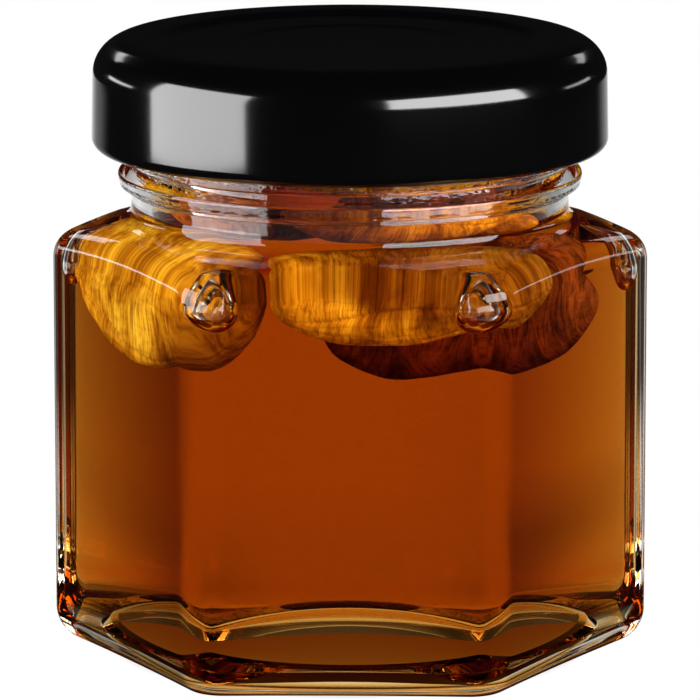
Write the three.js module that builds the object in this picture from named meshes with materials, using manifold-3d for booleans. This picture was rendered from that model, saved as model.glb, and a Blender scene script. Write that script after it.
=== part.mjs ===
// Small hexagonal honey jar: clear glass, a black twist-off lid, dark honey and almonds afloat under the neck.
// Millimetres, +Z up. The origin is on the floor under the middle of the jar, and a flat side faces -Y.
import * as THREE from "three";
import { mergeVertices } from "three/addons/utils/BufferGeometryUtils.js";
import Module from "manifold-3d";

const wasm = await Module();
wasm.setup();

// Driving dimensions

const GAP = 0.3; // clearance kept between pieces that touch
const FLATS = 46.8; // across the flat sides
const CORNER_RADIUS = 3.2; // upright corners of the hexagon
const INNER_CORNER_RADIUS = 1.9;
const WALL = 2.0;
const HEEL_RADIUS = 3.0;
const FOOT = { inner: 16.5, slope: 1.5, pushUp: 1.3, dome: 2.4 }; // the ring it stands on, and the hollow inside it
const FLOOR = { edge: 2.0, rise: 2.6, middle: 5.0, radius: 2.0 }; // top of the glass floor, wall to middle
const SHOULDER = { cornerZ: 37.0, faceZ: 37.6, radius: 2.5, innerDrop: 1.9, innerRadius: 2.0 };
const NECK = { radius: 19.5, footZ: 38.8, footRadius: 1.5, bore: 17.5, innerFootZ: 37.9, innerFootRadius: 2.2 };
const BEAD = { inner: 19.5, radius: 20.65, z: 42.55, below: 1.25, above: 1.4 };
const RIM = { radius: 19.75, z: 54.2, outerRound: 1.1, innerRound: 0.8 };
const THREAD = { count: 4, sweep: 70, lowZ: 47.55, rise: 1.9, high: 0.6, out: 0.8, firstAngle: 20 };
const LID = {
  radius: 23.0,
  taper: 0.2, // how much the skirt draws in towards the top
  bottomZ: 45.1,
  topZ: 54.9,
  topRound: 3.2,
  sheet: 0.35,
  curlRound: 1.05,
  curlInner: 20.9,
  curlHeight: 2.0,
  panelRadius: 16.4,
  panelDepth: 0.4,
  buttonRadius: 10.05,
  buttonDepth: 0.16,
  step: 0.6, // width of each pressed step
};
const LUG = { inner: 20.1, low: 0.25, height: 1.2, width: 7.0 };
const HONEY_LEVEL = 43.6;
const BUBBLE = { radius: 2.0, z: 34.6, inset: 0.9, tall: 1.1 }; // air caught under the shoulder in each corner

// Each almond: size along, across and through, its middle, and its turn as heading, climb and roll in degrees.
const ALMONDS = [
  { name: "almond_left", size: [22.4, 12.3, 8.2], at: [-14.4, -7.2, 33.2], turn: [122, 3, -52], bend: 0.5 },
  { name: "almond_front", size: [22.9, 8.6, 7.2], at: [5.0, -13.6, 34.3], turn: [6, 3, 12], bend: 0.6 },
  { name: "almond_dark", size: [21.0, 12.2, 8.0], at: [8.3, -3.6, 31.45], turn: [12, 2, -58], bend: -0.4 },
  { name: "almond_neck_right", size: [21.0, 11.8, 7.4], at: [4.4, -5.0, 41.1], turn: [16, -3, 12], bend: 0.4 },
  { name: "almond_neck_left", size: [21.6, 12.0, 7.6], at: [-6.8, 6.9, 40.1], turn: [38, 6, 24], bend: 0.5 },
  { name: "almond_back_right", size: [21.0, 11.6, 7.8], at: [9.8, 7.5, 37.0], turn: [-48, 8, -34], bend: -0.5 },
];
const ALMOND_TAPER = 0.17;
const ALMOND_POINT = 0.18;
const ALMOND_SIDES = 16;
const ALMOND_RINGS = 9;

const FINISH = {
  glass: { color: 0xeef3f4, roughness: 0.04, metalness: 0, transparent: true, opacity: 0.3 },
  lid: { color: 0x050506, roughness: 0.12, metalness: 0 },
  honey: { color: 0x9a3c08, roughness: 0.05, metalness: 0, transparent: true, opacity: 0.75 },
  blanched: { color: 0xcf8f2a, roughness: 0.5, metalness: 0 },
  skinOn: { color: 0x5a2410, roughness: 0.6, metalness: 0 },
};

const rad = THREE.MathUtils.degToRad;
const ROUND_SIDES = 48;

// Angles round the jar: close together at the six corners, wide apart along the flat sides.
const CORNER_STEPS = [-17.5, -5, -3, 0, 3, 5, 17.5, 30];
const JAR_ANGLES = [0, 60, 120, 180, 240, 300].flatMap((corner) => CORNER_STEPS.map((step) => rad(corner + step)));
const ROUND_ANGLES = Array.from({ length: ROUND_SIDES }, (_, i) => (i * 2 * Math.PI) / ROUND_SIDES);

// A solid of manifold-3d from a three.js geometry, and back.
function solidOf(geometry) {
  const bare = geometry.clone();
  bare.deleteAttribute("normal");
  bare.deleteAttribute("uv");
  const merged = mergeVertices(bare, 1e-4);
  const vertProperties = new Float32Array(merged.attributes.position.array);
  const index = merged.index.array;
  const kept = [];
  for (let i = 0; i < index.length; i += 3) {
    const [a, b, c] = [index[i], index[i + 1], index[i + 2]];
    if (a !== b && b !== c && c !== a) kept.push(a, b, c);
  }
  return new wasm.Manifold(new wasm.Mesh({ numProp: 3, vertProperties, triVerts: new Uint32Array(kept) }));
}

function geometryOf(solid) {
  const mesh = solid.getMesh();
  const geometry = new THREE.BufferGeometry();
  geometry.setAttribute("position", new THREE.BufferAttribute(new Float32Array(mesh.vertProperties), 3));
  geometry.setIndex(new THREE.BufferAttribute(new Uint32Array(mesh.triVerts), 1));
  geometry.computeVertexNormals();
  return geometry;
}

// The largest body of a solid, without the loose scraps that a cut leaves.
function largestBody(solid) {
  return solid.decompose().sort((a, b) => b.volume() - a.volume())[0];
}

// Corner points [r, z, rounding, steps] turned into a profile with each corner rounded by an arc.
function roundCorners(corners) {
  const profile = [];
  corners.forEach(([r, z, rounding = 0, steps = 3], i) => {
    const here = new THREE.Vector2(r, z);
    if (!rounding) {
      profile.push(here);
      return;
    }
    const back = new THREE.Vector2(...corners[i - 1].slice(0, 2)).sub(here).normalize();
    const ahead = new THREE.Vector2(...corners[i + 1].slice(0, 2)).sub(here).normalize();
    const half = Math.acos(THREE.MathUtils.clamp(back.dot(ahead), -1, 1)) / 2;
    const middle = back.clone().add(ahead).normalize();
    const centre = here.clone().addScaledVector(middle, rounding / Math.sin(half));
    const first = here.clone().addScaledVector(back, rounding / Math.tan(half)).sub(centre);
    const last = here.clone().addScaledVector(ahead, rounding / Math.tan(half)).sub(centre);
    const sweep = Math.atan2(first.cross(last), first.dot(last));
    for (let s = 0; s <= steps; s++) {
      profile.push(first.clone().rotateAround(new THREE.Vector2(), (sweep * s) / steps).add(centre));
    }
  });
  return profile;
}

// A closed surface from one profile for each angle, every profile running from the axis out and back to it.
function loft(angles, profileAt) {
  const rows = angles.map((angle) => profileAt(angle));
  const positions = [];
  const index = [];
  const length = rows[0].length;
  rows.forEach((row, i) => {
    const next = (i + 1) % rows.length;
    row.forEach((point, j) => {
      positions.push(point.x * Math.cos(angles[i]), point.x * Math.sin(angles[i]), point.y);
      if (j + 1 < length) {
        const [a, b, c, d] = [i * length + j, next * length + j, next * length + j + 1, i * length + j + 1];
        index.push(a, b, c, a, c, d);
      }
    });
  });
  const geometry = new THREE.BufferGeometry();
  geometry.setAttribute("position", new THREE.Float32BufferAttribute(positions, 3));
  geometry.setIndex(index);
  return solidOf(geometry);
}

// Distance from the axis to the side of a hexagon with round corners, its corners on +X and every 60 degrees.
function hexagonRadius(angle, apothem, cornerRadius) {
  const fromCorner = Math.abs(THREE.MathUtils.euclideanModulo(angle + rad(30), rad(60)) - rad(30));
  const corner = (apothem - cornerRadius) / Math.cos(rad(30));
  const flat = apothem / Math.cos(rad(30) - fromCorner);
  const arcEnd = Math.atan2(cornerRadius * Math.sin(rad(30)), corner + cornerRadius * Math.cos(rad(30)));
  if (fromCorner >= arcEnd) return flat;
  return corner * Math.cos(fromCorner) + Math.sqrt(cornerRadius ** 2 - (corner * Math.sin(fromCorner)) ** 2);
}

const CORNER_REACH = hexagonRadius(0, FLATS / 2, CORNER_RADIUS);

// Height of the shoulder's edge, lower at the corners than along the flat sides.
function shoulderZ(outerRadius) {
  const share = (CORNER_REACH - outerRadius) / (CORNER_REACH - FLATS / 2);
  return THREE.MathUtils.lerp(SHOULDER.cornerZ, SHOULDER.faceZ, share);
}

// Inner wall of the jar from the bore down to the middle of the floor, drawn in by a clearance.
function innerCorners(angle, clearance) {
  const outer = hexagonRadius(angle, FLATS / 2, CORNER_RADIUS);
  const side = hexagonRadius(angle, FLATS / 2 - WALL - clearance, INNER_CORNER_RADIUS);
  return [
    [NECK.bore - clearance, NECK.innerFootZ - clearance, NECK.innerFootRadius, 2],
    [side, shoulderZ(outer) - SHOULDER.innerDrop - clearance, SHOULDER.innerRadius, 3],
    [side, FLOOR.edge + clearance, FLOOR.radius, 4],
    [FOOT.inner - FOOT.slope, FLOOR.rise + clearance],
    ...dome(FLOOR.rise + clearance, FLOOR.middle + clearance),
  ];
}

// A shallow dome from near the foot in to the axis.
function dome(edgeZ, middleZ) {
  const rise = middleZ - edgeZ;
  return [0.55, 0].map((share) => [(FOOT.inner - FOOT.slope) * share, middleZ - rise * share ** 2]);
}

// The bead round the neck, from its foot up to its top.
function beadArc() {
  return [-90, -50, -15, 20, 55, 90].map(rad).map((angle) => {
    const high = angle < 0 ? BEAD.below : BEAD.above;
    return [BEAD.inner + (BEAD.radius - BEAD.inner) * Math.cos(angle), BEAD.z + high * Math.sin(angle)];
  });
}

function jarProfile(angle) {
  const side = hexagonRadius(angle, FLATS / 2, CORNER_RADIUS);
  return roundCorners([
    ...dome(FOOT.pushUp, FOOT.pushUp + FOOT.dome).reverse(),
    [FOOT.inner - FOOT.slope, FOOT.pushUp, 0.6, 1],
    [FOOT.inner, 0, 0.6, 1],
    [side, 0, HEEL_RADIUS, 4],
    [side, shoulderZ(side), SHOULDER.radius, 4],
    [NECK.radius, NECK.footZ, NECK.footRadius, 2],
    [NECK.radius, BEAD.z - BEAD.below],
    ...beadArc(),
    [RIM.radius, RIM.z, RIM.outerRound, 2],
    [NECK.bore, RIM.z, RIM.innerRound, 2],
    ...innerCorners(angle, 0),
  ]);
}

// One ridge of the thread: a half-round bar that climbs round the finish.
function threadRidge(startAngle) {
  const points = [];
  for (let i = 0; i <= 8; i++) {
    const angle = rad(startAngle + (THREAD.sweep * i) / 8);
    const z = THREAD.lowZ + (THREAD.rise * i) / 8;
    points.push(new THREE.Vector3(RIM.radius * Math.cos(angle), RIM.radius * Math.sin(angle), z));
  }
  const section = new THREE.Shape();
  section.absellipse(0, 0, THREAD.out, THREAD.high, 0, 2 * Math.PI, false, 0);
  const path = new THREE.CatmullRomCurve3(points);
  return solidOf(new THREE.ExtrudeGeometry(section, { steps: 8, extrudePath: path, curveSegments: 4 }));
}

function jarGlass() {
  let glass = loft(JAR_ANGLES, jarProfile);
  for (let i = 0; i < THREAD.count; i++) {
    glass = glass.add(threadRidge(THREAD.firstAngle + (360 * i) / THREAD.count));
  }
  return glass;
}

function lidProfile() {
  const step = LID.step / 2;
  const panelZ = LID.topZ - LID.panelDepth;
  const under = LID.topZ - LID.sheet;
  const curlTop = LID.bottomZ + LID.curlHeight;
  return roundCorners([
    [0, panelZ - LID.buttonDepth],
    [LID.buttonRadius - step, panelZ - LID.buttonDepth],
    [LID.buttonRadius + step, panelZ],
    [LID.panelRadius - step, panelZ],
    [LID.panelRadius + step, LID.topZ],
    [LID.radius - LID.taper, LID.topZ, LID.topRound, 6],
    [LID.radius, LID.bottomZ, LID.curlRound, 3],
    [LID.curlInner, LID.bottomZ, LID.curlRound - 0.1, 2],
    [LID.curlInner, curlTop, 0.7, 1],
    [LID.radius - LID.sheet, curlTop],
    [LID.radius - LID.taper - LID.sheet, under, LID.topRound - LID.sheet, 4],
    [LID.panelRadius + step - 0.1, under],
    [LID.panelRadius - step - 0.1, panelZ - LID.sheet],
    [LID.buttonRadius + step, panelZ - LID.sheet],
    [LID.buttonRadius - step, panelZ - LID.buttonDepth - LID.sheet],
    [0, panelZ - LID.buttonDepth - LID.sheet],
  ].reverse());
}

// One lug: a short thick stretch of the curl that reaches in under the thread.
function lug(angle) {
  const depth = LID.radius - LUG.inner - LID.curlRound;
  const block = new THREE.BoxGeometry(depth, LUG.width, LUG.height, 1, 1, 1);
  block.translate(LUG.inner + depth / 2 + 0.15, 0, LID.bottomZ + LUG.low + LUG.height / 2);
  block.rotateZ(rad(angle));
  return solidOf(block);
}

function lid() {
  let cap = loft(ROUND_ANGLES, lidProfile);
  for (let i = 0; i < THREAD.count; i++) {
    cap = cap.add(lug(THREAD.firstAngle + THREAD.sweep * 0.35 + (360 * i) / THREAD.count));
  }
  return cap;
}

// An almond with its blunt end at -X and its point at +X, grown all round by a clearance.
function almondGeometry({ size, bend }, clearance = 0) {
  const [long, wide, thick] = size.map((length) => length / 2 + clearance);
  const geometry = new THREE.SphereGeometry(1, ALMOND_SIDES, ALMOND_RINGS);
  const position = geometry.attributes.position;
  for (let i = 0; i < position.count; i++) {
    const along = position.getY(i);
    const ring = Math.hypot(position.getX(i), position.getZ(i));
    const around = Math.atan2(position.getZ(i), position.getX(i));
    const narrowing = Math.pow(ring, ALMOND_POINT * Math.max(along, 0)) * (1 - ALMOND_TAPER * along);
    const uneven = 1 + 0.035 * Math.sin(3 * around + 4 * along + long) * ring;
    const reach = ring * narrowing * uneven;
    const sag = bend * (along * along - 0.4);
    position.setXYZ(i, long * along, wide * reach * Math.cos(around), thick * reach * Math.sin(around) + sag);
  }
  return geometry;
}

function place(object, { at, turn }) {
  const [heading, climb, roll] = turn.map(rad);
  object.rotation.set(roll, -climb, heading, "ZYX");
  object.position.set(...at);
  object.updateMatrixWorld(true);
  return object;
}

function almondSolid(almond, clearance) {
  const placed = place(new THREE.Mesh(almondGeometry(almond, clearance)), almond);
  // Sphere parameters swap sides when Y becomes the long axis, so the faces are turned back.
  return solidOf(facingOut(placed.geometry.applyMatrix4(placed.matrixWorld)));
}

// The geometry with every triangle turned round when its volume comes out negative.
function facingOut(geometry) {
  const index = geometry.index.array;
  const position = geometry.attributes.position;
  const [a, b, c] = [new THREE.Vector3(), new THREE.Vector3(), new THREE.Vector3()];
  let volume = 0;
  for (let i = 0; i < index.length; i += 3) {
    a.fromBufferAttribute(position, index[i]);
    b.fromBufferAttribute(position, index[i + 1]);
    c.fromBufferAttribute(position, index[i + 2]);
    volume += a.dot(b.cross(c));
  }
  if (volume < 0) {
    for (let i = 0; i < index.length; i += 3) [index[i + 1], index[i + 2]] = [index[i + 2], index[i + 1]];
  }
  return geometry;
}

// Air bubble in one corner, a ball drawn out along the upright corner and open to the wall.
function bubble(angle) {
  const ball = new THREE.SphereGeometry(BUBBLE.radius, 9, 6);
  ball.rotateX(Math.PI / 2);
  ball.scale(1, 1, BUBBLE.tall);
  const reach = CORNER_REACH - WALL - BUBBLE.radius + BUBBLE.inset;
  ball.translate(reach * Math.cos(angle), reach * Math.sin(angle), BUBBLE.z);
  return solidOf(ball);
}

function honey() {
  let filling = loft(JAR_ANGLES, (angle) =>
    roundCorners([[0, HONEY_LEVEL], [NECK.bore - GAP, HONEY_LEVEL], ...innerCorners(angle, GAP)].reverse()),
  );
  for (const almond of ALMONDS) filling = filling.subtract(almondSolid(almond, GAP));
  for (let i = 0; i < 6; i++) filling = filling.subtract(bubble(rad(60 * i)));
  return largestBody(filling);
}

function mesh(name, geometry, finish) {
  const made = new THREE.Mesh(geometry, new THREE.MeshStandardMaterial(finish));
  made.name = name;
  return made;
}

const jar = new THREE.Group();
jar.add(mesh("jar_glass", geometryOf(jarGlass()), FINISH.glass));
jar.add(mesh("lid", geometryOf(lid()), FINISH.lid));
jar.add(mesh("honey", geometryOf(honey()), FINISH.honey));
for (const almond of ALMONDS) {
  const finish = almond.name === "almond_dark" ? FINISH.skinOn : FINISH.blanched;
  jar.add(place(mesh(almond.name, facingOut(almondGeometry(almond)), finish), almond));
}

export default jar;
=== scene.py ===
"""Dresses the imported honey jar: clear glass, gloss black lid, dark honey with trapped air, and almonds."""

import bpy
import bmesh
import math
from mathutils import Euler, Matrix, Vector, noise


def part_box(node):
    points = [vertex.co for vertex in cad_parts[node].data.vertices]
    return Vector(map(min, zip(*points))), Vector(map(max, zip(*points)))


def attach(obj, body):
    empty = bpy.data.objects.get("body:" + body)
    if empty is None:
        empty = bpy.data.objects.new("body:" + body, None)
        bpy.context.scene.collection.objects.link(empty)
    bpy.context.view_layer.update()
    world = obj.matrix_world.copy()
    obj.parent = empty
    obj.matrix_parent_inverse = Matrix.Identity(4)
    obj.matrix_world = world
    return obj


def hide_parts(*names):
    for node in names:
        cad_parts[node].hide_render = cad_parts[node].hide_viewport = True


bl_info = {
    "name": "Honey Jar",
    "version": (1, 0, 0),
    "blender": (4, 5, 0),
    "location": "View3D > Sidebar > Honey Jar",
    "description": "Models a hexagonal jar of honey with almonds round its packed solids",
    "category": "Add Mesh",
}

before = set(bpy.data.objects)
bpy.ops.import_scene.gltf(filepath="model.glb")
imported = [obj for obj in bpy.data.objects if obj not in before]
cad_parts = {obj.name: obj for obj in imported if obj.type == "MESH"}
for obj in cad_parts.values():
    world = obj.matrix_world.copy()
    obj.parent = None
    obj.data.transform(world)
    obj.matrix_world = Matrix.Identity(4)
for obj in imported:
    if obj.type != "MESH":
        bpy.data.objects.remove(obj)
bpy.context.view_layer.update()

MM = 0.001
JAR_LOW, JAR_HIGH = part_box("jar_glass")
LID_LOW, LID_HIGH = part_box("lid")
_, HONEY_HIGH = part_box("honey")

# Jar sizes in millimetres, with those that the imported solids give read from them.
FLATS = (JAR_HIGH.y - JAR_LOW.y) / MM
CORNER_RADIUS = 3.2
INNER_CORNER_RADIUS = 1.9
WALL = 2.0
HEEL_RADIUS = 3.0
FOOT_INNER, FOOT_SLOPE, PUSH_UP, PUSH_UP_DOME = 16.5, 1.5, 1.3, 2.4
FLOOR_EDGE, FLOOR_RISE, FLOOR_MIDDLE, FLOOR_RADIUS = 2.0, 2.6, 5.0, 2.0
SHOULDER_CORNER_Z, SHOULDER_FACE_Z, SHOULDER_RADIUS = 37.0, 37.6, 2.5
INNER_DROP, INNER_SHOULDER_RADIUS = 1.9, 2.0
NECK_RADIUS, NECK_FOOT_Z, NECK_FOOT_RADIUS = 19.5, 38.8, 1.5
BORE, BORE_FOOT_Z, BORE_FOOT_RADIUS = 17.5, 37.9, 2.2
BEAD_FOOT_Z, BEAD_TOP_Z = 41.35, 44.0
BEAD_RADIUS, BEAD_Z, BEAD_EDGE_RADIUS, BEAD_EDGE_Z = 20.72, 42.9, 20.5, 41.9
RIM_RADIUS, RIM_Z = 19.75, JAR_HIGH.z / MM
HONEY_LEVEL = HONEY_HIGH.z / MM
HONEY_WALL_MIDDLE = 20.0
INTO_WALL = 0.06  # how far the honey reaches into the glass
MENISCUS, MENISCUS_RADIUS, MENISCUS_DEPTH = 0.7, 1.6, 1.8  # the honey's edge, drawn up the bore
DOME_STEPS = 24
CORNER_CROWDING = 0.78  # how closely the steps round the jar are drawn together at its corners

LID_RADIUS, LID_BOTTOM, LID_TOP = 23.0, LID_LOW.z / MM, LID_HIGH.z / MM
LID_TAPER, LID_TOP_ROUND, LID_SHEET = 0.2, 3.2, 0.35
CURL_ROUND, CURL_INNER, CURL_HEIGHT = 1.05, 20.9, 2.0
PANEL_RADIUS, PANEL_DEPTH, BUTTON_RADIUS, BUTTON_DEPTH, PRESSED_STEP = 16.4, 0.4, 10.05, 0.16, 0.6

GLASS_BEND, HONEY_BEND = 1.51, 1.49
FACES_UP = 0.3  # a face whose normal rises more than this counts as facing up

# Each almond: size along, across and through, its middle, and its turn as heading, climb and roll in degrees.
ALMONDS = {
    "almond_left": ((22.4, 12.3, 8.2), (-14.4, -7.2, 33.2), (122, 3, -52), 0.5),
    "almond_front": ((22.9, 8.6, 7.2), (5.0, -13.6, 34.3), (6, 3, 12), 0.6),
    "almond_dark": ((21.0, 12.2, 8.0), (8.3, -3.6, 31.45), (12, 2, -58), -0.4),
    "almond_neck_right": ((21.0, 11.8, 7.4), (4.4, -5.0, 41.1), (16, -3, 12), 0.4),
    "almond_neck_left": ((21.6, 12.0, 7.6), (-6.8, 6.9, 40.1), (38, 6, 24), 0.5),
    "almond_back_right": ((21.0, 11.6, 7.8), (9.8, 7.5, 37.0), (-48, 8, -34), -0.5),
}
ALMOND_TAPER = 0.17
ALMOND_POINT = 0.18

# Each bubble of trapped air: bearing of its corner, radius, height, and how long its tail is.
BUBBLES = (
    (0, 1.75, 34.0, 1.5),
    (60, 1.5, 34.3, 0.8),
    (120, 1.6, 34.2, 1.0),
    (180, 1.6, 34.2, 1.3),
    (240, 1.95, 34.1, 0.5),
    (300, 1.95, 34.1, 0.5),
)
BUBBLE_FILM = 0.12
BUBBLE_TAIL_CLIMB = 30

# Painted shade on each nut, darkest on the side that light reaches least: the way towards that side, and how
# far from its middle the painted shade begins and is complete.
NUT_PAINTED_SHADE = {
    "almond_left_nut": ((0.6, -0.55, -0.6), 4.0, 8.0),
    "almond_front_nut": ((0.3, -0.35, 0.88), -0.6, 1.2),
    "almond_dark_nut": ((0.0, 0.0, -1.0), 2.0, 6.0),
    "almond_neck_right_nut": ((-1.0, 0.0, -0.2), 0.0, 5.0),
    "almond_neck_left_nut": ((1.0, 0.0, 0.0), -2.0, 3.0),
    "almond_back_right_nut": ((0.0, 0.0, -1.0), 1.0, 5.0),
}
# Long creases of a nut: side in turns, wander, depth and width.
NUT_CREASES = (
    (0.04, 0.35, 0.35, 0.05),
    (0.53, 0.4, 0.3, 0.06),
    (0.9, 0.3, 0.2, 0.05),
    (0.62, -0.3, 0.2, 0.04),
)

# Heights between which the glass carries moulding marks, and how deep they are over that span.
MARKS_LOW, MARKS_HIGH = 41.0 * MM, 45.0 * MM
MARKS = ((0.0, 0.0), (0.15, 0.35), (0.27, 0.35), (0.33, 0.0), (0.72, 0.0), (0.78, 1.0))

# How bright the surroundings seen through the jar are at each bearing, in degrees clockwise from the back.
GLOW = (
    (-180, 0.35),
    (-110, 0.1),
    (-75, 0.14),
    (-42, 0.68),
    (-22, 1.06),
    (0, 1.12),
    (20, 0.8),
    (40, 0.35),
    (80, 0.08),
    (180, 0.35),
)
# The same for the floor close to the jar, and between which distances in metres it gives way to the first.
NEAR_GLOW = (
    (-180, 0.8),
    (-90, 1.3),
    (-50, 0.6),
    (-28, 0.5),
    (-8, 1.0),
    (8, 1.0),
    (28, 0.5),
    (55, 0.45),
    (90, 1.3),
    (180, 0.8),
)
NEAR_START, NEAR_END = 0.056, 0.085
# The floor under the jar, shaded and warmed by the honey, out to where it is plain again in metres.
UNDER_JAR = (0.3, 0.09, 0.01)
UNDER_START, UNDER_END = 0.017, 0.022
UNDER_STRENGTH = 0.7  # how bright the floor is there before that tint
# The golden light that the honey casts on the floor round the jar, and where that has faded.
HONEY_CAST = (1.0, 0.58, 0.12)
CAST_START, CAST_END = 0.026, 0.04
# How bright the floor is at each bearing in what the jar's outside reflects.
MIRRORED = ((-180, 0.008), (-50, 0.006), (-34, 0.3), (-10, 1), (10, 1), (20, 0.5), (40, 0.01), (180, 0.008))
# How much of the first glow is left at each height over the floor: 0 is straight down, 1 straight up.
GLOW_RISE = ((0.5, 1), (0.59, 1.0), (0.63, 0.8), (0.68, 0.22), (0.72, 0.08), (1, 0.08))
ROOM_MIRRORED = 0.006  # how bright the room above the floor is in reflections
GLOW_SCALE = 2.0  # the brightest glow that a ramp can hold

# Each soft light: bearing, distance, lower edge, size, radiance, and whether it is seen through the jar.
SOFTBOXES = {
    "left_softbox": (-111.5, 0.2, 0.006, (0.185, 0.16), 5.4, True),
    "right_softbox": (130, 0.27, 0.06, (0.344, 0.146), 7.2, True),
    "left_rim_light": (-60, 0.3, 0.06, (0.12, 0.02), 3.5, False),
    "right_rim_light": (60, 0.3, 0.06, (0.12, 0.02), 2, False),
    "left_back_light": (-30, 0.3, 0.15, (0.08, 0.03), 2, False),
    "right_back_light": (30, 0.3, 0.15, (0.08, 0.03), 1.5, False),
}


class HoneyJarGlass(bpy.types.PropertyGroup):
    """Sizes and finish of the glass."""

    steps: bpy.props.IntProperty(name="Steps", description="Steps round the spun glass", default=192, min=48)
    roughness: bpy.props.FloatProperty(name="Roughness", description="Roughness of the glass", default=0.0)


class HoneyJarFilling(bpy.types.PropertyGroup):
    """Colour and depth of the honey."""

    colour: bpy.props.FloatVectorProperty(
        name="Colour", description="Colour let through", default=(0.849, 0.576, 0.0), subtype="COLOR"
    )
    density: bpy.props.FloatProperty(
        name="Density", description="How strongly the honey absorbs light", default=180.0
    )


class HoneyJarStage(bpy.types.PropertyGroup):
    """Camera and light."""

    distance: bpy.props.FloatProperty(
        name="Distance", description="Camera's distance along the floor", default=536 * MM, unit="LENGTH"
    )
    height: bpy.props.FloatProperty(
        name="Height", description="Camera's height over the floor", default=134.9 * MM, unit="LENGTH"
    )
    azimuth: bpy.props.FloatProperty(
        name="Azimuth", description="Camera's turn round the jar", default=math.radians(1.0), unit="ROTATION"
    )
    pitch: bpy.props.FloatProperty(
        name="Pitch", description="Camera's tilt downwards", default=math.radians(11.43), unit="ROTATION"
    )
    lens: bpy.props.FloatProperty(name="Lens", description="Focal length in millimetres", default=313.9)


def round_corners(corners):
    """A profile of (r, z) points from corners (r, z, rounding, steps), each rounded by an arc."""
    profile = []
    for i, corner in enumerate(corners):
        here = Vector(corner[:2])
        rounding = corner[2] if len(corner) > 2 else 0
        if not rounding:
            profile.append(here)
            continue
        steps = corner[3]
        back = (Vector(corners[i - 1][:2]) - here).normalized()
        ahead = (Vector(corners[i + 1][:2]) - here).normalized()
        half = back.angle(ahead) / 2
        centre = here + (back + ahead).normalized() * rounding / math.sin(half)
        first = here + back * rounding / math.tan(half) - centre
        last = here + ahead * rounding / math.tan(half) - centre
        sweep = math.atan2(first.x * last.y - first.y * last.x, first.dot(last))
        for s in range(steps + 1):
            profile.append(Matrix.Rotation(sweep * s / steps, 2) @ first + centre)
    return profile


def hexagon_radius(angle, apothem, corner_radius):
    """Distance from the axis to the side of a hexagon with round corners, the first corner on +X."""
    sector = math.radians(60)
    from_corner = abs((angle + sector / 2) % sector - sector / 2)
    corner = (apothem - corner_radius) / math.cos(sector / 2)
    arc_end = math.atan2(corner_radius * math.sin(sector / 2), corner + corner_radius * math.cos(sector / 2))
    if from_corner >= arc_end:
        return apothem / math.cos(sector / 2 - from_corner)
    aside = corner * math.sin(from_corner)
    return corner * math.cos(from_corner) + math.sqrt(corner_radius**2 - aside**2)


CORNER_REACH = hexagon_radius(0, FLATS / 2, CORNER_RADIUS)


def shoulder_z(outer_radius):
    """Height of the shoulder's edge, lower at the corners than along the flat sides."""
    share = (CORNER_REACH - outer_radius) / (CORNER_REACH - FLATS / 2)
    return SHOULDER_CORNER_Z + share * (SHOULDER_FACE_Z - SHOULDER_CORNER_Z)


def inner_corners(angle, into_wall):
    """Inner wall from the bore down to the middle of the floor, moved into the glass by into_wall."""
    outer = hexagon_radius(angle, FLATS / 2, CORNER_RADIUS)
    side = hexagon_radius(angle, FLATS / 2 - WALL + into_wall, INNER_CORNER_RADIUS)
    return [
        (BORE + into_wall, BORE_FOOT_Z + into_wall, BORE_FOOT_RADIUS, 8),
        (side, shoulder_z(outer) - INNER_DROP + into_wall, INNER_SHOULDER_RADIUS, 10),
        (side, HONEY_WALL_MIDDLE),
        (side, FLOOR_EDGE - into_wall, FLOOR_RADIUS, 14),
        *[(r, z - into_wall) for r, z in dome(FLOOR_RISE, FLOOR_MIDDLE)],
    ]


def dome(edge_z, middle_z):
    """A shallow dome from near the foot in to the axis."""
    across = FOOT_INNER - FOOT_SLOPE
    rings = [across * (1 - i / DOME_STEPS) for i in range(1, DOME_STEPS + 1)]
    return [(r, middle_z - (middle_z - edge_z) * (r / across) ** 2) for r in rings]


def jar_profile(angle):
    side = hexagon_radius(angle, FLATS / 2, CORNER_RADIUS)
    return round_corners([
        *dome(PUSH_UP, PUSH_UP + PUSH_UP_DOME)[::-1],
        (FOOT_INNER - FOOT_SLOPE, PUSH_UP, 0.6, 5),
        (FOOT_INNER, 0, 0.6, 4),
        (side, 0, HEEL_RADIUS, 14),
        (side, shoulder_z(side), SHOULDER_RADIUS, 14),
        (NECK_RADIUS, NECK_FOOT_Z, NECK_FOOT_RADIUS, 7),
        (NECK_RADIUS, BEAD_FOOT_Z, 0.2, 3),
        (BEAD_EDGE_RADIUS, BEAD_EDGE_Z, 0.22, 5),
        (BEAD_RADIUS, BEAD_Z, 0.5, 8),
        (NECK_RADIUS, BEAD_TOP_Z, 0.5, 4),
        (RIM_RADIUS, RIM_Z, 1.1, 6),
        (BORE, RIM_Z, 0.8, 5),
        *inner_corners(angle, 0),
    ])


def honey_profile(angle):
    return round_corners([
        (0, HONEY_LEVEL - MENISCUS),
        (BORE - MENISCUS_RADIUS, HONEY_LEVEL - MENISCUS, MENISCUS_RADIUS, 8),
        (BORE + INTO_WALL, HONEY_LEVEL),
        *inner_corners(angle, INTO_WALL),
    ])[::-1]


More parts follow.
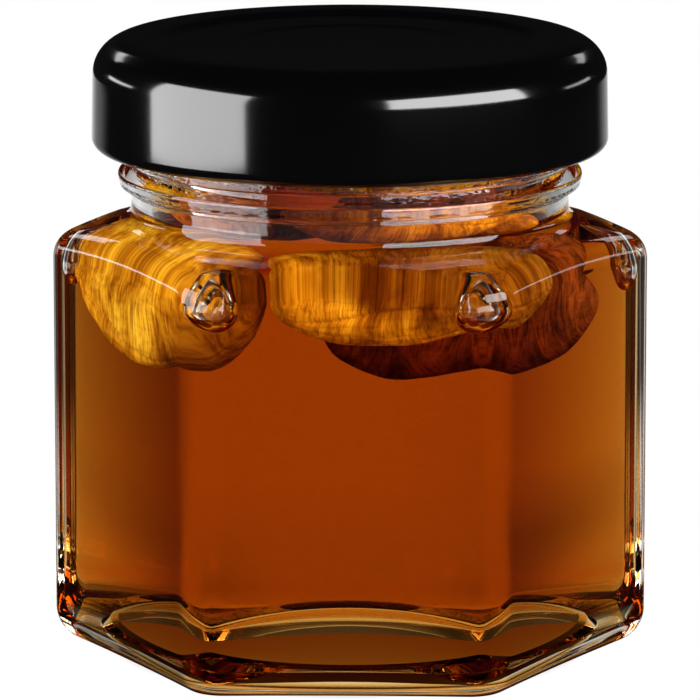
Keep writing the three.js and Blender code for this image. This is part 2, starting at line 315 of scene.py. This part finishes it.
def lid_profile(_angle):
    step = PRESSED_STEP / 2
    panel = LID_TOP - PANEL_DEPTH
    under = LID_TOP - LID_SHEET
    curl_top = LID_BOTTOM + CURL_HEIGHT
    return round_corners([
        (0, panel - BUTTON_DEPTH),
        (BUTTON_RADIUS - step, panel - BUTTON_DEPTH, 0.6, 3),
        (BUTTON_RADIUS + step, panel, 0.6, 3),
        (PANEL_RADIUS - step, panel, 0.4, 4),
        (PANEL_RADIUS + step, LID_TOP, 0.5, 4),
        (LID_RADIUS - LID_TAPER, LID_TOP, LID_TOP_ROUND, 16),
        (LID_RADIUS, LID_BOTTOM, CURL_ROUND, 9),
        (CURL_INNER, LID_BOTTOM, CURL_ROUND - 0.1, 8),
        (CURL_INNER, curl_top, 0.7, 4),
        (LID_RADIUS - LID_SHEET, curl_top),
        (LID_RADIUS - LID_TAPER - LID_SHEET, under, LID_TOP_ROUND - LID_SHEET, 10),
        (PANEL_RADIUS + step - 0.1, under),
        (PANEL_RADIUS - step - 0.1, panel - LID_SHEET),
        (BUTTON_RADIUS + step, panel - LID_SHEET),
        (BUTTON_RADIUS - step, panel - BUTTON_DEPTH - LID_SHEET),
        (0, panel - BUTTON_DEPTH - LID_SHEET),
    ])[::-1]


def deselect_all():
    if bpy.context.object and bpy.context.object.mode != "OBJECT":
        bpy.ops.object.mode_set(mode="OBJECT")
    bpy.ops.object.select_all(action="DESELECT")


def only(piece):
    """Makes a piece the one selected and active object."""
    deselect_all()
    piece.select_set(True)
    bpy.context.view_layer.objects.active = piece


def jar_angle(turn):
    """The angle for a share of a full turn, with the steps drawn together at the hexagon's corners."""
    sector = math.radians(60)
    angle = turn * 2 * math.pi
    within = (angle + sector / 2) % sector - sector / 2
    share = within / (sector / 2)
    squeezed = ((1 - CORNER_CROWDING) * share + CORNER_CROWDING * share**3) * sector / 2
    return angle - within + squeezed


def spun(name, steps, profile_at, angle_at=lambda turn: turn * 2 * math.pi):
    """A closed piece spun about Z from the profile at angle 0, each step then given its own profile."""
    first = profile_at(0)
    deselect_all()
    bpy.ops.mesh.primitive_circle_add(vertices=len(first), radius=1)
    piece = bpy.context.object
    piece.name = piece.data.name = name
    for vertex, point in zip(piece.data.vertices, first):
        vertex.co = (point.x, 0, point.y)
    bpy.ops.object.mode_set(mode="EDIT")
    edges = bmesh.from_edit_mesh(piece.data)
    edges.verts.ensure_lookup_table()
    closing = edges.edges.get((edges.verts[0], edges.verts[len(first) - 1]))
    edges.edges.remove(closing)
    bpy.ops.mesh.select_all(action="SELECT")
    bpy.ops.mesh.spin(steps=steps, angle=2 * math.pi, center=(0, 0, 0), axis=(0, 0, 1))
    bpy.ops.object.mode_set(mode="OBJECT")
    place_rings(piece, steps, len(first), profile_at, angle_at)
    only(piece)
    bpy.ops.object.mode_set(mode="EDIT")
    bpy.ops.mesh.select_all(action="SELECT")
    bpy.ops.mesh.remove_doubles(threshold=1e-3)
    bpy.ops.mesh.normals_make_consistent(inside=False)
    bpy.ops.object.mode_set(mode="OBJECT")
    bpy.ops.object.shade_smooth()
    return piece


def place_rings(piece, steps, length, profile_at, angle_at):
    """Moves each ring of a fresh spin to its own angle and profile, told apart by where the spin left it."""
    rows = {}
    for ring in range(steps):
        angle = angle_at(ring / steps)
        rows[ring] = (angle, profile_at(angle))
    first = profile_at(0)
    found = {}
    for index, point in enumerate(first):
        found.setdefault((round(point.x, 4), round(point.y, 4)), index)
    for vertex in piece.data.vertices:
        radius = math.hypot(vertex.co.x, vertex.co.y)
        key = (round(radius, 4), round(vertex.co.z, 4))
        index = found.get(key)
        if index is None:
            here = Vector((radius, vertex.co.z))
            index = min(range(length), key=lambda k: (first[k] - here).length)
        ring = round(math.atan2(vertex.co.y, vertex.co.x) / (2 * math.pi) * steps) % steps
        angle, row = rows[ring]
        vertex.co = (row[index].x * math.cos(angle), row[index].x * math.sin(angle), row[index].y)


def to_metres(piece):
    piece.data.transform(Matrix.Scale(MM, 4))
    piece.data.update()
    return piece


def finish_piece(piece, slot, *nodes):
    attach(piece, "root")
    if nodes:
        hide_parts(*nodes)
    return piece


def new_material(name):
    material = bpy.data.materials.new(name)
    material.use_nodes = True
    return material, material.node_tree


def let_lamps_through(tree, surface):
    """Lets the light of lamps reach what is inside glass or honey."""
    output = tree.nodes["Material Output"]
    path = tree.nodes.new("ShaderNodeLightPath")
    clear = tree.nodes.new("ShaderNodeBsdfTransparent")
    mix = tree.nodes.new("ShaderNodeMixShader")
    tree.links.new(path.outputs["Is Shadow Ray"], mix.inputs[0])
    tree.links.new(surface.outputs[0], mix.inputs[1])
    tree.links.new(clear.outputs[0], mix.inputs[2])
    tree.links.new(mix.outputs[0], output.inputs["Surface"])


def glass_material(name, bend, roughness):
    material, tree = new_material(name)
    surface = tree.nodes["Principled BSDF"]
    surface.inputs["Base Color"].default_value = (0.97, 0.985, 0.98, 1)
    surface.inputs["Roughness"].default_value = roughness
    surface.inputs["IOR"].default_value = bend
    surface.inputs["Transmission Weight"].default_value = 1
    tree.links.new(moulding_marks(tree), surface.inputs["Normal"])
    let_lamps_through(tree, surface)
    return material


def moulding_marks(tree):
    """Small dents round the glass just under the lid, and fewer along the lower edge of the bead."""
    place = tree.nodes.new("ShaderNodeTexCoord").outputs["Object"]
    parts = tree.nodes.new("ShaderNodeSeparateXYZ")
    height = tree.nodes.new("ShaderNodeMapRange")
    height.inputs["From Min"].default_value = MARKS_LOW
    height.inputs["From Max"].default_value = MARKS_HIGH
    tree.links.new(place, parts.inputs[0])
    tree.links.new(parts.outputs["Z"], height.inputs["Value"])
    share = coloured(tree, height.outputs[0], [(at, (much, much, much)) for at, much in MARKS])
    dents = tree.nodes.new("ShaderNodeTexNoise")
    dents.inputs["Scale"].default_value = 1600
    dents.inputs["Detail"].default_value = 1
    tree.links.new(place, dents.inputs["Vector"])
    bump = tree.nodes.new("ShaderNodeBump")
    bump.inputs["Strength"].default_value = 0.5
    bump.inputs["Distance"].default_value = 0.2 * MM
    tree.links.new(scaled(tree, dents.outputs["Fac"], share), bump.inputs["Height"])
    return bump.outputs[0]


def honey_material(colour, density):
    material, tree = new_material("dark_honey")
    surface = tree.nodes["Principled BSDF"]
    surface.inputs["Base Color"].default_value = (1, 1, 1, 1)
    surface.inputs["Roughness"].default_value = 0
    surface.inputs["IOR"].default_value = HONEY_BEND
    surface.inputs["Transmission Weight"].default_value = 1
    absorption = tree.nodes.new("ShaderNodeVolumeAbsorption")
    absorption.inputs["Color"].default_value = (*colour, 1)
    absorption.inputs["Density"].default_value = density
    tree.links.new(absorption.outputs[0], tree.nodes["Material Output"].inputs["Volume"])
    free = tree.nodes.new("ShaderNodeAttribute")
    free.attribute_name = "free_surface"
    on_glass = tree.nodes.new("ShaderNodeBsdfTransparent")
    mix = tree.nodes.new("ShaderNodeMixShader")
    tree.links.new(free.outputs["Fac"], mix.inputs[0])
    tree.links.new(on_glass.outputs[0], mix.inputs[1])
    tree.links.new(surface.outputs[0], mix.inputs[2])
    let_lamps_through(tree, mix)
    return material


def lid_material():
    material, tree = new_material("black_lacquer")
    surface = tree.nodes["Principled BSDF"]
    surface.inputs["Base Color"].default_value = (0.0012, 0.0012, 0.0015, 1)
    surface.inputs["IOR"].default_value = 1.8
    surface.inputs["Roughness"].default_value = 0.11
    return material


def nut_grain():
    """Node group: fine bands across a nut, broad arcs and long wrinkles, placed in centimetres."""
    group = bpy.data.node_groups.new("nut_grain", "ShaderNodeTree")
    for name, value in (("Bands", 5.0), ("Wander", 0.5), ("Sway", 0.45)):
        group.interface.new_socket(name, in_out="INPUT", socket_type="NodeSocketFloat").default_value = value
    for name in ("Lines", "Blotches", "Wrinkles"):
        group.interface.new_socket(name, in_out="OUTPUT", socket_type="NodeSocketFloat")
    given = group.nodes.new("NodeGroupInput")
    result = group.nodes.new("NodeGroupOutput")
    place = group.nodes.new("ShaderNodeAttribute")
    place.attribute_name = "nut_place"
    swayed = sway(group, place.outputs["Vector"], given.outputs["Sway"])
    lines = stretched_noise(group, swayed, (8, 1, 1), 4, 0.6)
    group.links.new(given.outputs["Bands"], lines.inputs["Scale"])
    group.links.new(given.outputs["Wander"], lines.inputs["Distortion"])
    arcs = stretched_noise(group, swayed, (4.5, 1.6, 1.6), 3, 0.55)
    arcs.inputs["Scale"].default_value = 1.0
    arcs.inputs["Distortion"].default_value = 0.8
    wrinkles = stretched_noise(group, place.outputs["Vector"], (1.2, 7, 7), 5, 0.5)
    wrinkles.inputs["Scale"].default_value = 2.4
    wrinkles.inputs["Distortion"].default_value = 0.6
    for pattern, name in ((lines, "Lines"), (arcs, "Blotches"), (wrinkles, "Wrinkles")):
        group.links.new(pattern.outputs["Fac"], result.inputs[name])
    return group


def sway(group, place, amount):
    """A place moved to and fro by slow noise, so that what is drawn over it bends."""
    slow = group.nodes.new("ShaderNodeTexNoise")
    slow.inputs["Scale"].default_value = 1.1
    slow.inputs["Detail"].default_value = 1
    centred = group.nodes.new("ShaderNodeVectorMath")
    centred.operation = "SUBTRACT"
    centred.inputs[1].default_value = (0.5, 0.5, 0.5)
    moved = group.nodes.new("ShaderNodeVectorMath")
    moved.operation = "SCALE"
    total = group.nodes.new("ShaderNodeVectorMath")
    group.links.new(place, slow.inputs["Vector"])
    group.links.new(slow.outputs["Color"], centred.inputs[0])
    group.links.new(centred.outputs[0], moved.inputs[0])
    group.links.new(amount, moved.inputs["Scale"])
    group.links.new(place, total.inputs[0])
    group.links.new(moved.outputs[0], total.inputs[1])
    return total.outputs[0]


def stretched_noise(group, place, scale, detail, roughness):
    """Noise drawn out along the axes with the smaller scales."""
    mapping = group.nodes.new("ShaderNodeMapping")
    mapping.inputs["Scale"].default_value = scale
    pattern = group.nodes.new("ShaderNodeTexNoise")
    pattern.inputs["Detail"].default_value = detail
    pattern.inputs["Roughness"].default_value = roughness
    group.links.new(place, mapping.inputs["Vector"])
    group.links.new(mapping.outputs[0], pattern.inputs["Vector"])
    return pattern


def coloured(tree, value, stops):
    """A colour ramp over a value, from (place, colour) stops."""
    node = tree.nodes.new("ShaderNodeValToRGB")
    elements = node.color_ramp.elements
    while len(elements) < len(stops):
        elements.new(0.5)
    for element, (place, colour) in zip(elements, stops):
        element.position = place
        element.color = (*colour, 1)
    tree.links.new(value, node.inputs[0])
    return node.outputs[0]


def mixed(tree, factor, first, second, kind="MIX"):
    """Two colours mixed by a number or a value."""
    node = tree.nodes.new("ShaderNodeMix")
    node.data_type = "RGBA"
    node.blend_type = kind
    if isinstance(factor, (int, float)):
        node.inputs[0].default_value = factor
    else:
        tree.links.new(factor, node.inputs[0])
    for socket, colour in ((node.inputs[6], first), (node.inputs[7], second)):
        if isinstance(colour, tuple):
            socket.default_value = (*colour, 1)
        else:
            tree.links.new(colour, socket)
    return node.outputs[2]


def almond_material(name, grain, golds, lines, shade_colour, relief):
    """A nut's surface: golds over its blotches, darker lines and wrinkles, and painted shade over the side of
    each nut that light reaches least.
    """
    material, tree = new_material(name)
    surface = tree.nodes["Principled BSDF"]
    pattern = tree.nodes.new("ShaderNodeGroup")
    pattern.node_tree = grain
    painted_shade = tree.nodes.new("ShaderNodeAttribute")
    painted_shade.attribute_name = "nut_painted_shade"
    white = (1, 1, 1)
    flesh = coloured(tree, pattern.outputs["Blotches"], golds)
    fine = coloured(tree, pattern.outputs["Lines"], ((0.36, lines), (0.54, white)))
    rough = coloured(tree, pattern.outputs["Wrinkles"], ((0.3, lines), (0.52, white)))
    flesh = mixed(tree, 0.8, flesh, fine, "MULTIPLY")
    flesh = mixed(tree, 0.4, flesh, rough, "MULTIPLY")
    # Painted shade: the nut's colour darkened towards its shaded side.
    painted_shade_colour = coloured(tree, painted_shade.outputs["Fac"], ((0.0, white), (1.0, shade_colour)))
    flesh = mixed(tree, 1.0, flesh, painted_shade_colour, "MULTIPLY")
    tree.links.new(flesh, surface.inputs["Base Color"])
    surface.inputs["Roughness"].default_value = 0.45
    surface.inputs["Specular IOR Level"].default_value = 0
    bump = tree.nodes.new("ShaderNodeBump")
    bump.inputs["Strength"].default_value = relief
    bump.inputs["Distance"].default_value = 0.1 * MM
    heights = tree.nodes.new("ShaderNodeMath")
    heights.operation = "ADD"
    tree.links.new(pattern.outputs["Lines"], heights.inputs[0])
    tree.links.new(pattern.outputs["Wrinkles"], heights.inputs[1])
    tree.links.new(heights.outputs[0], bump.inputs["Height"])
    tree.links.new(bump.outputs[0], surface.inputs["Normal"])
    return material


def crease(around, along, creases):
    """How deep long creases cut at one place, each given as side in turns, wander, depth and width."""
    depth = 0.0
    for side, wander, deep, wide in creases:
        middle = side * 2 * math.pi + wander * math.sin(2.2 * along + side * 9)
        off = (around - middle + math.pi) % (2 * math.pi) - math.pi
        depth += deep * math.exp(-((off / wide) ** 2)) * (1 - along**2)
    return depth


def almond(name, size, at, turn, bend):
    """One almond with its blunt end at -X and its point at +X before it is turned into place."""
    deselect_all()
    bpy.ops.mesh.primitive_uv_sphere_add(segments=180, ring_count=130, radius=1)
    piece = bpy.context.object
    piece.name = piece.data.name = name
    long, wide, thick = (length / 2 for length in size)
    heading, climb, roll = (math.radians(angle) for angle in turn)
    placed = Matrix.Translation(Vector(at)) @ Euler((roll, -climb, heading), "XYZ").to_matrix().to_4x4()
    own = []
    painted_shade = []
    shaded_way, start, end = NUT_PAINTED_SHADE[name]
    for vertex in piece.data.vertices:
        along = vertex.co.z
        ring = math.hypot(vertex.co.x, vertex.co.y)
        around = math.atan2(vertex.co.y, vertex.co.x)
        narrowing = ring ** (ALMOND_POINT * max(along, 0)) * (1 - ALMOND_TAPER * along) if ring > 1e-6 else 0
        reach = ring * narrowing
        sag = bend * (along * along - 0.4)
        flat = Vector((long * along, wide * reach * math.cos(around), thick * reach * math.sin(around)))
        lumps = 0.22 * noise.noise(flat * 0.22 + Vector(at))
        wrinkles = 0.07 * noise.noise(Vector((flat.x * 0.35, around * 7, 0)) + Vector(at))
        cut = crease(around, along, NUT_CREASES)
        grown = flat * (1 + (lumps + wrinkles * ring - cut * ring) / (0.5 * (wide + thick)))
        own.append(flat * 0.1)
        vertex.co = placed @ (grown + Vector((0, 0, sag)))
        # Painted shade: how far this point lies towards the nut's shaded side, with a little noise.
        towards = (vertex.co - Vector(at)).dot(Vector(shaded_way).normalized()) + 0.8 * noise.noise(flat * 0.4)
        painted_shade.append(min(max((towards - start) / (end - start), 0), 1))
    place = piece.data.attributes.new("nut_place", "FLOAT_VECTOR", "POINT")
    place.data.foreach_set("vector", [number for local in own for number in local])
    shade_attribute = piece.data.attributes.new("nut_painted_shade", "FLOAT", "POINT")
    shade_attribute.data.foreach_set("value", painted_shade)
    only(piece)
    bpy.ops.object.mode_set(mode="EDIT")
    bpy.ops.mesh.select_all(action="SELECT")
    bpy.ops.mesh.normals_make_consistent(inside=False)
    bpy.ops.object.mode_set(mode="OBJECT")
    bpy.ops.object.shade_smooth()
    return to_metres(piece)


def is_wetted(centre, normal):
    """Whether a face of the glass is on its inner wall or floor, below the honey's level."""
    if not (FLOOR_EDGE - 0.3) * MM < centre.z < HONEY_LEVEL * MM:
        return False
    faces_in = normal.x * centre.x + normal.y * centre.y < 0
    on_floor = normal.z > FACES_UP and centre.z < (FLOOR_MIDDLE + 1) * MM
    return faces_in or on_floor


class HONEYJAR_OT_glass(bpy.types.Operator):
    """Spins the clear glass jar"""

    bl_idname = "honeyjar.glass"
    bl_label = "Glass jar"

    def execute(self, context):
        look = context.scene.honeyjar_glass
        piece = to_metres(spun("glass_jar", look.steps, jar_profile, jar_angle))
        piece.data.materials.append(glass_material("clear_glass", GLASS_BEND, look.roughness))
        piece.data.materials.append(glass_material("honeyed_glass", GLASS_BEND / HONEY_BEND, look.roughness))
        for face in piece.data.polygons:
            face.material_index = int(is_wetted(face.center, face.normal))
        finish_piece(piece, "glass", "jar_glass")
        return {"FINISHED"}


class HONEYJAR_OT_lid(bpy.types.Operator):
    """Spins the pressed black lid"""

    bl_idname = "honeyjar.lid"
    bl_label = "Lid"

    def execute(self, context):
        piece = to_metres(spun("black_lid", 160, lid_profile))
        piece.data.materials.append(lid_material())
        finish_piece(piece, "lid", "lid")
        return {"FINISHED"}


class HONEYJAR_OT_honey(bpy.types.Operator):
    """Fills the jar with honey and leaves air caught in its corners"""

    bl_idname = "honeyjar.honey"
    bl_label = "Honey"

    def execute(self, context):
        look = context.scene.honeyjar_filling
        piece = spun("honey_filling", context.scene.honeyjar_glass.steps, honey_profile, jar_angle)
        free = piece.data.attributes.new("free_surface", "FLOAT", "FACE")
        for face in piece.data.polygons:
            free.data[face.index].value = is_open_top(face.center, face.normal)
        balls = [bubble(math.radians(turn), *rest) for turn, *rest in BUBBLES]
        deselect_all()
        for ball in balls:
            ball.select_set(True)
        piece.select_set(True)
        context.view_layer.objects.active = piece
        bpy.ops.object.join()
        to_metres(piece)
        piece.data.materials.append(honey_material(look.colour, look.density))
        finish_piece(piece, "honey", "honey")
        return {"FINISHED"}


def is_open_top(centre, normal):
    """1 for a face of the honey that meets the air in the neck, otherwise 0."""
    in_bore = math.hypot(centre.x, centre.y) < BORE
    return float(normal.z > FACES_UP and centre.z > HONEY_LEVEL - MENISCUS_DEPTH and in_bore)


def bubble(angle, radius, height, tail):
    """A ball of air under the shoulder's corner, its skin facing the air, drawn out towards the neck."""
    deselect_all()
    bpy.ops.mesh.primitive_uv_sphere_add(segments=48, ring_count=32, radius=1)
    ball = bpy.context.object
    climb = math.radians(BUBBLE_TAIL_CLIMB)
    sector = math.radians(60)
    reach = (FLATS / 2 - WALL - BUBBLE_FILM - radius) / math.cos(sector / 2)
    placed = Matrix.Rotation(angle, 4, "Z") @ Matrix.Translation((reach, 0, height))
    tilt = placed @ Matrix.Rotation(climb - math.pi / 2, 4, "Y")
    for vertex in ball.data.vertices:
        ahead = max(vertex.co.z, 0)
        narrow = 1 - 0.35 * ahead * ahead * min(tail, 1)
        across = vertex.co.xy * narrow * radius
        vertex.co = Vector((*across, vertex.co.z * radius + tail * ahead * ahead))
    ball.data.transform(tilt)
    only(ball)
    bpy.ops.object.mode_set(mode="EDIT")
    bpy.ops.mesh.select_all(action="SELECT")
    bpy.ops.mesh.normals_make_consistent(inside=True)
    bpy.ops.object.mode_set(mode="OBJECT")
    bpy.ops.object.shade_smooth()
    free = ball.data.attributes.new("free_surface", "FLOAT", "FACE")
    for value in free.data:
        value.value = 1
    return ball


class HONEYJAR_OT_almonds(bpy.types.Operator):
    """Floats the almonds at the top of the honey"""

    bl_idname = "honeyjar.almonds"
    bl_label = "Almonds"

    def execute(self, context):
        grain = nut_grain()
        golds = ((0.34, (0.3, 0.095, 0.004)), (0.48, (0.66, 0.28, 0.01)), (0.64, (0.98, 0.54, 0.03)))
        browns = ((0.36, (0.06, 0.012, 0.004)), (0.66, (0.36, 0.1, 0.025)))
        # The second colour given to each nut material tints its painted shade.
        blanched = almond_material("blanched_almond", grain, golds, (0.4, 0.24, 0.16), (0.32, 0.2, 0.2), 0.8)
        skin = almond_material("almond_skin", grain, browns, (0.3, 0.2, 0.2), (0.5, 0.4, 0.4), 1.0)
        for node, (size, at, turn, bend) in ALMONDS.items():
            piece = almond(node + "_nut", size, at, turn, bend)
            piece.data.materials.append(skin if node == "almond_dark" else blanched)
            finish_piece(piece, "almond_skin" if node == "almond_dark" else "almond", node)
        return {"FINISHED"}


def softbox(name, bearing, distance, low, size, radiance, seen_through):
    """An upright area light that faces the jar, its bearing in degrees clockwise from the back."""
    light = bpy.data.lights.new(name, "AREA")
    light.shape = "RECTANGLE"
    light.size, light.size_y = size
    light.energy = radiance * math.pi * size[0] * size[1]
    lamp = bpy.data.objects.new(name, light)
    bpy.context.scene.collection.objects.link(lamp)
    lamp.visible_camera = False
    lamp.visible_transmission = seen_through
    angle = math.radians(bearing)
    lamp.location = (distance * math.sin(angle), distance * math.cos(angle), low + size[1] / 2)
    lamp.rotation_euler = (math.pi / 2, 0, math.pi - angle)


def ramp(tree, stops):
    """A colour ramp node with the given (place, brightness) stops, smoothly joined."""
    node = tree.nodes.new("ShaderNodeValToRGB")
    node.color_ramp.interpolation = "EASE"
    elements = node.color_ramp.elements
    while len(elements) < len(stops):
        elements.new(0.5)
    for element, (place, value) in zip(elements, stops):
        element.position = place
        element.color = (value, value, value, 1)
    return node


def glow(tree, place, stops):
    """Brightness by bearing round the jar's axis, from a node that gives a place or a direction."""
    parts = tree.nodes.new("ShaderNodeSeparateXYZ")
    bearing = tree.nodes.new("ShaderNodeMath")
    bearing.operation = "ARCTAN2"
    share = tree.nodes.new("ShaderNodeMapRange")
    share.inputs["From Min"].default_value = -math.pi
    share.inputs["From Max"].default_value = math.pi
    tree.links.new(place, parts.inputs[0])
    tree.links.new(parts.outputs["X"], bearing.inputs[0])
    tree.links.new(parts.outputs["Y"], bearing.inputs[1])
    tree.links.new(bearing.outputs[0], share.inputs["Value"])
    levels = ramp(tree, [(turn / 360 + 0.5, value / GLOW_SCALE) for turn, value in stops])
    tree.links.new(share.outputs[0], levels.inputs[0])
    return scaled(tree, levels.outputs[0], GLOW_SCALE)


def scaled(tree, value, factor):
    """A value times a number or another value."""
    product = tree.nodes.new("ShaderNodeMath")
    product.operation = "MULTIPLY"
    tree.links.new(value, product.inputs[0])
    if isinstance(factor, (int, float)):
        product.inputs[1].default_value = factor
    else:
        tree.links.new(factor, product.inputs[1])
    return product.outputs[0]


def by_ray(tree, through, mirrored):
    """Strength of a white glow: 1 to the camera, mirrored to reflected rays, and through to all others."""
    path = tree.nodes.new("ShaderNodeLightPath")
    glossy = tree.nodes.new("ShaderNodeMix")
    direct = tree.nodes.new("ShaderNodeMix")
    direct.inputs["B"].default_value = 1
    tree.links.new(path.outputs["Is Reflection Ray"], glossy.inputs["Factor"])
    tree.links.new(through, glossy.inputs["A"])
    if isinstance(mirrored, (int, float)):
        glossy.inputs["B"].default_value = mirrored
    else:
        tree.links.new(mirrored, glossy.inputs["B"])
    tree.links.new(path.outputs["Is Camera Ray"], direct.inputs["Factor"])
    tree.links.new(glossy.outputs[0], direct.inputs["A"])
    return direct.outputs[0]


def away_share(tree, place, start, end):
    """0 up to one distance from the jar's axis, 1 from another."""
    away = tree.nodes.new("ShaderNodeVectorMath")
    away.operation = "LENGTH"
    share = tree.nodes.new("ShaderNodeMapRange")
    share.inputs["From Min"].default_value = start
    share.inputs["From Max"].default_value = end
    tree.links.new(place, away.inputs[0])
    tree.links.new(away.outputs["Value"], share.inputs["Value"])
    return share.outputs[0]


def near_and_far(tree, place, near, far):
    """One value close to the jar's axis and another further out."""
    mix = tree.nodes.new("ShaderNodeMix")
    tree.links.new(away_share(tree, place, NEAR_START, NEAR_END), mix.inputs["Factor"])
    tree.links.new(near, mix.inputs["A"])
    tree.links.new(far, mix.inputs["B"])
    return mix.outputs[0]


def floor_material():
    """A pale floor, lit most behind the jar, that stays dark in reflections off the jar's front."""
    material, tree = new_material("pale_floor")
    surface = tree.nodes["Principled BSDF"]
    surface.inputs["Base Color"].default_value = (0.004, 0.004, 0.004, 1)
    surface.inputs["Roughness"].default_value = 0.9
    surface.inputs["Specular IOR Level"].default_value = 0
    place = tree.nodes.new("ShaderNodeTexCoord").outputs["Object"]
    away = away_share(tree, place, UNDER_START, UNDER_END)
    cast = mixed(tree, away_share(tree, place, CAST_START, CAST_END), HONEY_CAST, (1, 1, 1))
    seen = tree.nodes.new("ShaderNodeLightPath").outputs["Is Camera Ray"]
    shaded = mixed(tree, away, UNDER_JAR, mixed(tree, seen, cast, (1, 1, 1)))
    tree.links.new(shaded, surface.inputs["Emission Color"])
    through = near_and_far(tree, place, glow(tree, place, NEAR_GLOW), glow(tree, place, GLOW))
    under = tree.nodes.new("ShaderNodeMix")
    under.inputs["A"].default_value = UNDER_STRENGTH
    tree.links.new(away, under.inputs["Factor"])
    tree.links.new(through, under.inputs["B"])
    through = under.outputs[0]
    strength = by_ray(tree, through, glow(tree, place, MIRRORED))
    tree.links.new(strength, surface.inputs["Emission Strength"])
    return material


def light_room(world):
    """White to the camera, aglow behind the jar up to a low height, nearly dark in reflections."""
    world.use_nodes = True
    tree = world.node_tree
    tree.nodes.clear()
    output = tree.nodes.new("ShaderNodeOutputWorld")
    shade = tree.nodes.new("ShaderNodeBackground")
    shade.inputs["Color"].default_value = (1, 1, 1, 1)
    direction = tree.nodes.new("ShaderNodeTexCoord").outputs["Generated"]
    parts = tree.nodes.new("ShaderNodeSeparateXYZ")
    height = tree.nodes.new("ShaderNodeMapRange")
    height.inputs["From Min"].default_value = -1
    tree.links.new(direction, parts.inputs[0])
    tree.links.new(parts.outputs["Z"], height.inputs["Value"])
    rise = ramp(tree, GLOW_RISE)
    tree.links.new(height.outputs[0], rise.inputs[0])
    through = scaled(tree, glow(tree, direction, GLOW), rise.outputs[0])
    tree.links.new(by_ray(tree, through, ROOM_MIRRORED), shade.inputs["Strength"])
    tree.links.new(shade.outputs[0], output.inputs["Surface"])


class HONEYJAR_OT_stage(bpy.types.Operator):
    """Sets the pale floor, the soft lights and the camera"""

    bl_idname = "honeyjar.stage"
    bl_label = "Stage"

    def execute(self, context):
        stage = context.scene.honeyjar_stage
        deselect_all()
        bpy.ops.mesh.primitive_circle_add(vertices=96, radius=0.4, fill_type="NGON")
        floor = bpy.context.object
        floor.name = "pale_floor"
        floor.data.materials.append(floor_material())

        context.scene.world = context.scene.world or bpy.data.worlds.new("studio")
        light_room(context.scene.world)
        for name, lamp in SOFTBOXES.items():
            softbox(name, *lamp)

        camera = bpy.data.objects.new("camera", bpy.data.cameras.new("camera"))
        context.scene.collection.objects.link(camera)
        camera.data.sensor_width = 36
        camera.data.lens = stage.lens
        camera.data.clip_start = 0.01
        across, along = math.sin(stage.azimuth), -math.cos(stage.azimuth)
        camera.location = (stage.distance * across, stage.distance * along, stage.height)
        camera.rotation_euler = (math.pi / 2 - stage.pitch, 0, stage.azimuth)
        context.scene.camera = camera
        context.scene.view_settings.view_transform = "Standard"
        context.scene.cycles.max_bounces = 24
        context.scene.cycles.transmission_bounces = 24
        return {"FINISHED"}


PIECES = (HONEYJAR_OT_glass, HONEYJAR_OT_honey, HONEYJAR_OT_almonds, HONEYJAR_OT_lid, HONEYJAR_OT_stage)


class HONEYJAR_PT_panel(bpy.types.Panel):
    """Lists the jar's pieces in the sidebar"""

    bl_idname = "HONEYJAR_PT_panel"
    bl_label = "Honey Jar"
    bl_space_type = "VIEW_3D"
    bl_region_type = "UI"
    bl_category = "Honey Jar"

    def draw(self, context):
        for piece in PIECES:
            self.layout.operator(piece.bl_idname)


SETTINGS = {
    "honeyjar_glass": HoneyJarGlass,
    "honeyjar_filling": HoneyJarFilling,
    "honeyjar_stage": HoneyJarStage,
}


def register():
    for group in SETTINGS.values():
        bpy.utils.register_class(group)
    for name, group in SETTINGS.items():
        setattr(bpy.types.Scene, name, bpy.props.PointerProperty(type=group))
    for piece in (*PIECES, HONEYJAR_PT_panel):
        bpy.utils.register_class(piece)


def unregister():
    for piece in (HONEYJAR_PT_panel, *PIECES[::-1]):
        bpy.utils.unregister_class(piece)
    for name, group in SETTINGS.items():
        delattr(bpy.types.Scene, name)
        bpy.utils.unregister_class(group)


def main():
    register()
    for piece in PIECES:
        group, operator = piece.bl_idname.split(".")
        getattr(getattr(bpy.ops, group), operator)()


if __name__ == "__main__":
    main()
